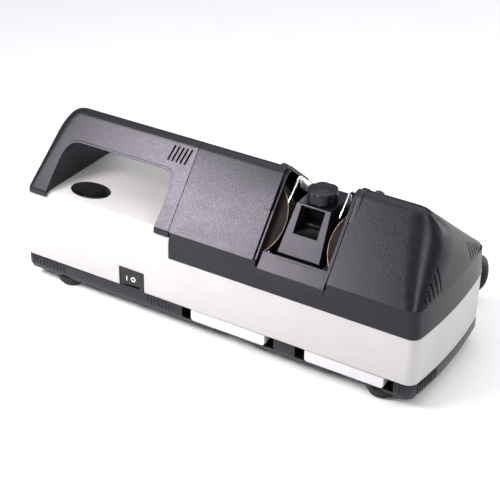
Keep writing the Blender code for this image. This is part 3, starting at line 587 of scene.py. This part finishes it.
# ---------------------------------------------------------------- station
def knob():
    low, high = box_mm("adjuster_knob")
    centre = (low + high) / 2
    radius = (high.x - low.x) / 2
    height = high.z - low.z

    def lobe(angle, r, h):
        share = min(max((r - 8.4) / 3.0, 0.0), 1.0)
        waist = -1.1 * (0.5 - 0.5 * cos(6 * angle)) ** 2
        flute = -0.32 * (0.5 + 0.5 * cos(48 * angle)) if 0.8 < h < height - 2.4 else 0.0
        return (waist + flute) * share

    top = height - 1.2
    r = radius
    profile = [(3.4, 0.0), (r - 1.2, 0.0), (r - 0.5, 0.3), (r - 0.2, 1.0), (r, 2.4), (r, top - 2.6), (r - 0.1, top - 1.2), (r - 0.5, top - 0.4), (r - 1.3, top), (8.6, top - 0.1), (7.9, top + 0.1), (7.5, top + 0.5), (6.6, top + 0.85), (4.0, top + 1.12), (0.01, top + 1.2), (0.01, top - 3.0), (3.4, top - 3.0), (3.4, 0.0)]
    mesh = turned("adjuster_knob_grip", profile, (centre.x, centre.y, low.z), steps=240, wobble=lobe)
    item = place_object("adjuster_knob_grip", mesh, "black_abs", "knob", 40.0)
    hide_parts("adjuster_knob")


def wheel_rims():
    """A thin bronzed band round the front edge of each wheel."""
    axis = Vector((0, -sin(FRONT_SLOPE), cos(FRONT_SLOPE)))
    for side in ("left", "right"):
        joint = next(j for j in frame["joints"] if j["name"] == f"wheel_{side}_spin")
        centre = Vector(joint["pos_m"]) / MM
        profile = [(40.5, 0.15), (41.05, 0.1), (41.2, -0.3), (41.2, -1.1), (41.0, -1.4), (40.6, -1.4), (40.5, 0.15)]
        mesh = turned(f"wheel_rim_{side}", profile, centre, axis, 120)
        place_object(f"wheel_rim_{side}", mesh, "rim", f"wheel_{side}", 60.0)


def block_pocket():
    """A near-black, almost unreflective sheet laid inside the block's pocket as painted shade, with the low step at its
    back.
    """
    low, high = box_mm("guide_block")
    x = (low.x + high.x) / 2
    bm = bmesh.new()
    left, right, back, bottom, top = x - 11.9, x + 11.9, -24.6, 125.4, 146.6
    front = {bottom: -45.6, top: -32.2}
    corner = {}
    for key, px, pz in (("lb", left, bottom), ("rb", right, bottom), ("rt", right, top), ("lt", left, top)):
        corner[key] = (bm.verts.new(Vector((px, front[pz], pz)) * MM), bm.verts.new(Vector((px, back, pz)) * MM))
    order = ("lb", "rb", "rt", "lt")
    for a, b in zip(order, order[1:] + order[:1]):
        bm.faces.new((corner[a][0], corner[b][0], corner[b][1], corner[a][1]))
    bm.faces.new([corner[k][1] for k in order])
    for face in bm.faces:
        face.normal_update()
        inward = Vector((x, -36.0, 136.0)) * MM - face.calc_center_median()
        if face.normal.dot(inward) < 0:
            face.normal_flip()
    mesh = bpy.data.meshes.new("pocket_shade_sheet")
    bm.to_mesh(mesh)
    bm.free()
    # this sheet is painted shade laid inside the pocket, not a part of the sharpener
    item = place_object("pocket_shade_sheet", mesh, "painted_shade_black", "base", 30.0)
    wall = item.modifiers.new("wall", "SOLIDIFY")
    wall.thickness, wall.offset = 0.0003, 1.0
    step = rounded_box((left + 0.2, -31.0, bottom), (right - 0.2, back - 0.1, bottom + 4.4), 0.5)
    place_object("pocket_step", to_mesh("pocket_step", step), "black_gloss_abs", "base")


def section_path(inset, front_run, rear_run, steps=16):
    """Points down the front slope, over the ridge and down the rear slope, that far inside the covers, in Y and Z."""
    r = RIDGE_RADIUS - inset
    centre = Vector((RIDGE_Y, RIDGE_Z))
    points = []
    start = centre + Vector((-sin(FRONT_SLOPE), cos(FRONT_SLOPE))) * r
    points.append(start + Vector((-cos(FRONT_SLOPE), -sin(FRONT_SLOPE))) * front_run)
    for i in range(steps + 1):
        angle = -FRONT_SLOPE + (FRONT_SLOPE + REAR_SLOPE) * i / steps
        points.append(centre + Vector((sin(angle), cos(angle))) * r)
    stop = points[-1]
    points.append(stop + Vector((cos(REAR_SLOPE), -sin(REAR_SLOPE))) * rear_run)
    return points


def cover_rims():
    """The raised collar round the end cover's ridge and the lower rib along its open edge."""
    outer = section_path(-0.9, 1.5, 16.0)
    outer = [section_path(0.0, 24.0, 26.0)[0]] + outer + [section_path(0.0, 24.0, 26.0)[-1]]
    inner = section_path(1.0, 24.0, 26.0)
    outline = [tuple(p) for p in outer] + [tuple(p) for p in reversed(inner)]
    item = place_object("end_cover_collar", extruded("end_cover_collar", outline, "X", 121.7, 126.4), "black_gloss_abs", "base", 30.0)
    soft = item.modifiers.new("edges", "BEVEL")
    soft.width, soft.segments, soft.limit_method, soft.angle_limit = 0.0009, 3, "ANGLE", radians(40)
    for name, inset, start, end in (("end_cover_rib", 1.1, 117.6, 121.1), ("centre_cover_rib", 1.6, 48.0, 50.6)):
        front = (100.9 - section_path(inset, 0, 0)[0].y) / -sin(FRONT_SLOPE)
        rear = (100.9 - section_path(inset, 0, 0)[-1].y) / -sin(REAR_SLOPE)
        outer = section_path(inset, front, rear)
        inner = section_path(inset + 1.6, front - 1.0, rear - 1.0)
        outline = [tuple(p) for p in outer] + [tuple(p) for p in reversed(inner)]
        item = place_object(name, extruded(name, outline, "X", start, end), "black_abs", "base", 30.0)
        soft = item.modifiers.new("edges", "BEVEL")
        soft.width, soft.segments, soft.limit_method, soft.angle_limit = 0.0005, 2, "ANGLE", radians(40)


def strap_edges():
    """The polished rolled edge of each guide strap, with its tip by the lip."""
    for side in ("left", "right"):
        low, high = box_mm(f"guide_strap_{side}")
        x = (low.x + high.x) / 2
        points = section_path(5.7, 0.0, 9.0, 12)
        front = Vector((-30.6, 144.4))
        run = [front.lerp(points[0], k / 6) for k in range(6)]
        path = [Vector((x, p.x, p.y)) for p in run + points[1:]]
        rings = []
        for i, p in enumerate(path):
            ahead = path[min(i + 1, len(path) - 1)] - path[max(i - 1, 0)]
            across = Vector((1, 0, 0))
            outward = ahead.normalized().cross(across)
            size = 0.35 if i in (0, len(path) - 1) else 1.0
            rings.append([p + across * 0.95 * size * cos(2 * pi * k / 16) + outward * 0.95 * size * sin(2 * pi * k / 16) for k in range(16)])
        place_object(f"guide_strap_edge_{side}", from_faces(f"guide_strap_edge_{side}", *loft(rings)), "chrome", "base", 60.0)
    for name, place in (("strap_tip_left", (56.0, -56.2, 105.2)), ("strap_tip_right", (114.6, -58.4, 102.6))):
        mesh = turned(name, [(0.01, 1.5), (0.7, 1.3), (1.15, 0.7), (1.2, -2.5), (0.01, -2.5), (0.01, 1.5)], place, (0, -sin(FRONT_SLOPE), cos(FRONT_SLOPE)), 24)
        place_object(name, mesh, "chrome", "base", 50.0)


# ---------------------------------------------------------------- base
def ribs():
    """Vertical ribs moulded on the skirt near its corners and before the first drawer."""
    bm = bmesh.new()
    low, high = box_mm("base_tray")

    def rib(x, y, normal_x, normal_y):
        part = rounded_box((-1.05, -0.6, 0.0), (1.05, 0.6, 8.6), 0.3, 2)
        angle = atan2(normal_y, normal_x) + pi / 2
        matrix = Matrix.Translation(Vector((x, y, 15.6)) * MM) @ Matrix.Rotation(angle, 4, "Z")
        bmesh.ops.transform(part, matrix=matrix, verts=part.verts)
        mesh = bpy.data.meshes.new("rib")
        part.to_mesh(mesh)
        part.free()
        bm.from_mesh(mesh)
        bpy.data.meshes.remove(mesh)

    for first, count in ((-205.0, 10), (-68.0, 8)):
        for i in range(count):
            rib(first + 4.1 * i, -69.9, 0.0, -1.0)
    for i in range(3):
        rib(193.5 + 3.6 * i, -69.9, 0.0, -1.0)
    for i in range(9):
        y = -60.0 + 3.7 * i
        x = 211.0 - 10.0 + 10.0 + 4.0 * (1 - (y / 62.0) ** 2)
        rib(x, y, 1.0, 0.06 * y / 60.0)
    place_object("skirt_ribs", to_mesh("skirt_ribs", bm), "black_abs", "base", 50.0)


def drawers():
    for side in ("left", "right"):
        low, high = box_mm(f"drawer_{side}")
        corners = ((low.x, low.z), (high.x, low.z), (high.x, high.z), (low.x, high.z))
        front = rounded_outline(corners, (3.4, 3.4, 0.5, 0.5), 6)
        face = extruded(f"drawer_{side}_tray", front, "Y", low.y, high.y)
        item = place_object(f"drawer_{side}_tray", face, "grey_abs", f"drawer_{side}", 30.0)
        room = rounded_outline(((low.x + 2, low.y + 2.4), (high.x - 2, low.y + 2.4), (high.x - 2, high.y - 2), (low.x + 2, high.y - 2)), 3.0, 5)
        carve(item, [extruded("room", room, "Z", low.z + 1.8, high.z + 5)])
        soft = item.modifiers.new("edges", "BEVEL")
        soft.width, soft.segments, soft.limit_method, soft.angle_limit = 0.0004, 2, "ANGLE", radians(40)
        resmooth(item, 30.0)
        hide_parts(f"drawer_{side}")


def rocker():
    low, high = box_mm("power_rocker")
    outline = []
    for i in range(17):
        t = i / 16
        x = low.x + (high.x - low.x) * t
        y = low.y + 2.1 * t + 3.2 * (t * (1 - t)) * 1.1
        outline.append((x, y))
    outline += [(high.x, high.y), (low.x, high.y)]
    item = place_object("power_rocker_cap", extruded("power_rocker_cap", outline, "Z", low.z, high.z), "gloss_black", "rocker", 30.0)
    soft = item.modifiers.new("edges", "BEVEL")
    soft.width, soft.segments, soft.limit_method, soft.angle_limit = 0.0006, 3, "ANGLE", radians(40)
    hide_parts("power_rocker")
    for name, share, wide, tall in (("mark_on", 0.30, 0.55, 2.6), ("mark_off", 0.64, 1.9, 2.6)):
        x = low.x + (high.x - low.x) * share
        t = share
        y = low.y + 2.1 * t + 3.52 * (t * (1 - t))
        z = (low.z + high.z) / 2
        if name == "mark_on":
            mesh = to_mesh(name, rounded_box((x - wide, y - 0.3, z - tall), (x + wide, y + 0.6, z + tall), 0.1, 1))
        else:
            mesh = turned(name, [(tall, 0.45), (tall, -0.8), (tall - 1.0, -0.8), (tall - 1.0, 0.45), (tall, 0.45)], (x, y, z), (0, -1, 0), 48)
        place_object(name, mesh, "mark", "rocker")


# ---------------------------------------------------------------- mains lead
CORD_RADIUS = 3.5
GLAND = (190.0, 70.0, 60.0)
COIL = (22.0, 146.0)
COIL_RADIUS = 41.0


def lead_points():
    """The lead's own line: out of the gland, down to the table and round its coil to the plug."""
    x, y, z = GLAND
    cx, cy = COIL
    r = COIL_RADIUS
    low = CORD_RADIUS + 0.3
    bend = 28.0
    knots = [(x, y - 6.0, z), (x, y + 12.0, z), (x, y + 31.0, z)]
    for i in range(1, 6):
        angle = radians(18 * i)
        knots.append((x, y + 31.0 + bend * sin(angle), z - bend * (1 - cos(angle))))
    side = y + 31.0 + bend
    for i in range(1, 6):
        angle = radians(18 * i)
        knots.append((x - bend * (1 - cos(angle)), side, z - bend - (z - bend - low) * sin(angle)))
    knots += [(x - 46.0, side, low), (x - 76.0, side - 8.0, low), (cx + 62.0, cy - r - 7.0 + 6.0, low), (cx + 28.0, cy - r - 5.2, low)]
    levels = ((r + 3.45, low), (r - 3.6, low), (r - 3.6, low + 7.2), (r + 3.45, low + 7.2), (r + 3.45, low + 14.2))
    per = 28
    for turn in range(5):
        here, after = levels[turn], levels[min(turn + 1, 4)]
        for k in range(per):
            share = k / per
            ease = max(0.0, (share - 0.72) / 0.28)
            ease = ease * ease * (3 - 2 * ease)
            radius = here[0] + (after[0] - here[0]) * ease
            height = here[1] + (after[1] - here[1]) * ease
            angle = -pi / 2 - 2 * pi * share
            knots.append((cx + radius * cos(angle), cy + radius * sin(angle), height))
    radius, height = levels[4]
    knots += [(cx, cy - radius, height), (cx - 14.0, cy - radius - 0.4, height - 1.2), (cx - 30.0, cy - radius, height - 5.2), (cx - 44.0, cy - radius, height - 8.2), (cx - 56.0, cy - radius, 9.2)]
    return knots


def catmull(knots, steps):
    ends = [Vector(knots[0]) * 2 - Vector(knots[1])] + [Vector(k) for k in knots] + [Vector(knots[-1]) * 2 - Vector(knots[-2])]
    dense = []
    for a, b, c, d in zip(ends, ends[1:], ends[2:], ends[3:]):
        for i in range(steps):
            t = i / steps
            dense.append(0.5 * (2 * b + (c - a) * t + (2 * a - 5 * b + 4 * c - d) * t**2 + (3 * b - a - 3 * c + d) * t**3))
    return dense + [ends[-2]]


def mains_lead():
    points = catmull(lead_points(), 4)
    curve = bpy.data.curves.new("mains_lead", "CURVE")
    curve.dimensions = "3D"
    spline = curve.splines.new("POLY")
    spline.points.add(len(points) - 1)
    for knot, p in zip(spline.points, points):
        knot.co = (*(p * MM), 1.0)
    curve.bevel_depth, curve.bevel_resolution, curve.use_fill_caps = CORD_RADIUS * MM, 6, True
    item = bpy.data.objects.new("mains_lead", curve)
    bpy.context.scene.collection.objects.link(item)
    curve.materials.append(LOOKS["cable"])
    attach(item, "base")
    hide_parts("power_cord", "cord_coil")
    x, y, z = GLAND
    profile = [(3.6, -5.0), (6.0, -5.0), (6.0, -0.3), (8.8, -0.3), (9.0, 0.2), (9.0, 2.2), (8.6, 2.8), (7.4, 3.0)]
    for k in range(7):
        a = 4.0 + 3.6 * k
        r = 7.2 - 0.42 * k
        profile += [(r, a), (r - 0.1, a + 2.0), (r - 1.1, a + 2.3), (r - 1.2, a + 3.3)]
    profile += [(4.3, 29.6), (3.6, 30.0), (3.6, -5.0)]
    relief = place_object("strain_relief", turned("strain_relief", profile, GLAND, (0, 1, 0), 48), "rubber", "base", 35.0)
    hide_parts("cord_gland")
    px, py = COIL[0] - 74.0, COIL[1] - COIL_RADIUS - 3.6
    rings = []
    for t, half_y, half_z in ((-19.5, 7.0, 6.0), (-18.6, 8.6, 7.6), (-15.0, 9.2, 8.4), (-4.0, 8.4, 7.8), (6.0, 9.4, 8.6), (12.0, 8.6, 8.0), (16.0, 6.0, 6.0), (17.6, 5.0, 5.0), (18.0, 3.8, 3.8)):
        ring = []
        for k in range(40):
            angle = 2 * pi * k / 40
            c, s = cos(angle), sin(angle)
            power = 0.6
            ring.append((px + t, py + half_y * abs(c) ** power * (1 if c > 0 else -1), 9.2 + half_z * abs(s) ** power * (1 if s > 0 else -1)))
        rings.append(ring)
    plug = place_object("mains_plug_body", from_faces("mains_plug_body", *loft(rings)), "rubber", "base", 40.0)
    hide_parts("mains_plug")
    for dy in (-6.0, 6.0):
        mesh = turned("plug_pin", [(0.01, 0.0), (1.9, 0.0), (2.0, 0.3), (2.0, 11.0), (1.2, 12.2), (0.01, 12.5), (0.01, 0.0)], (px - 19.2, py + dy, 9.2), (-1, 0, 0), 24)
        place_object(f"plug_pin_{'near' if dy < 0 else 'far'}", mesh, "chrome", "base", 40.0)


# ---------------------------------------------------------------- CAD nodes that stay
def dress_nodes():
    """The CAD nodes that stay get their materials and smooth shading on their round faces."""
    special = {"cover_screw_left": "black_gloss_abs", "cover_screw_right": "black_gloss_abs"}
    for row in frame["record"]["subparts"]:
        node = NODES[row["node"]]
        look = LOOKS[special.get(row["node"], row["material_slot"])]
        node.data.materials.clear()
        node.data.materials.append(look)
        if node.data.attributes.get("custom_normal"):
            node.data.attributes.remove(node.data.attributes["custom_normal"])
        weld = node.modifiers.new("weld", "WELD")
        weld.merge_threshold = 0.00001
        node.data.shade_smooth()
        split = node.modifiers.new("edges", "EDGE_SPLIT")
        split.split_angle = radians(34.0)
        split.use_edge_sharp = False


# ---------------------------------------------------------------- stage
def area_light(name, place, target, size, radiance, colour=(1, 1, 1), size_y=None):
    data = bpy.data.lights.new(name, "AREA")
    data.shape = "RECTANGLE"
    data.size, data.size_y = size, size_y or size
    data.energy = radiance * pi * data.size * data.size_y
    data.color = colour
    item = bpy.data.objects.new(name, data)
    bpy.context.scene.collection.objects.link(item)
    item.location = place
    item.rotation_euler = (Vector(place) - Vector(target)).to_track_quat("Z", "Y").to_euler()
    return item


def stage():
    scene = bpy.context.scene
    scene.view_settings.view_transform = "Standard"
    camera = bpy.data.cameras.new("camera")
    camera.lens, camera.sensor_width = 100.85, 36.0
    camera.clip_end = 20.0
    rig = bpy.data.objects.new("camera", camera)
    scene.collection.objects.link(rig)
    rotation = Matrix(((0.8513, -0.2779, 0.4450), (0.5244, 0.4268, -0.7368), (0.0148, 0.8606, 0.5091)))
    rig.matrix_world = Matrix.Translation((0.5926, -0.9767, 0.7371)) @ rotation.to_4x4()
    scene.camera = rig
    n = Nodes("floor")
    tone = n.mix(n.ramp(n.noise(9.0, 4.0, 0.6), 0.35, 0.65), (0.90, 0.90, 0.905), (0.92, 0.92, 0.925))
    n.done(tone, n.ramp(n.noise(30.0), 0.3, 0.7, 0.75, 0.85), n.bump(n.noise(500.0), 0.05, 0.00002), specular=0.1)
    mesh = from_faces("floor", [(-9, -9, -0.0002), (9, -9, -0.0002), (9, 9, -0.0002), (-9, 9, -0.0002)], [(0, 1, 2, 3)])
    if mesh.polygons[0].normal.z < 0:
        mesh.flip_normals()
    floor = bpy.data.objects.new("floor", mesh)
    scene.collection.objects.link(floor)
    mesh.materials.append(n.material)
    world = bpy.data.worlds.new("studio")
    scene.world = world
    world.use_nodes = True
    world.node_tree.nodes["Background"].inputs["Color"].default_value = (0.93, 0.94, 1.0, 1.0)
    world.node_tree.nodes["Background"].inputs["Strength"].default_value = 0.36
    area_light("overhead", (0.0, 0.3, 1.9), (0.0, 0.1, 0.0), 2.6, 1.45, (0.98, 0.98, 1.0))
    area_light("key", (-0.36, -0.43, 0.52), (-0.04, -0.04, 0.12), 0.22, 30.0, (1.0, 0.975, 1.0))
    area_light("side", (0.80, -0.40, 0.72), (0.19, -0.05, 0.10), 0.34, 6.5, (1.0, 1.0, 0.97))
    area_light("front", (-0.17, -0.51, 0.42), (0.086, -0.045, 0.13), 0.13, 20.0, (1.0, 0.975, 1.0))
    area_light("rear", (0.85, 0.95, 0.42), (0.19, 0.0, 0.10), 0.60, 4.5, (1.0, 1.0, 1.0))


dress_nodes()
mains_lead()
body_shell()
handle_cover()
end_cover()
badge()
knob()
wheel_rims()
block_pocket()
cover_rims()
strap_edges()
ribs()
drawers()
rocker()
stage()
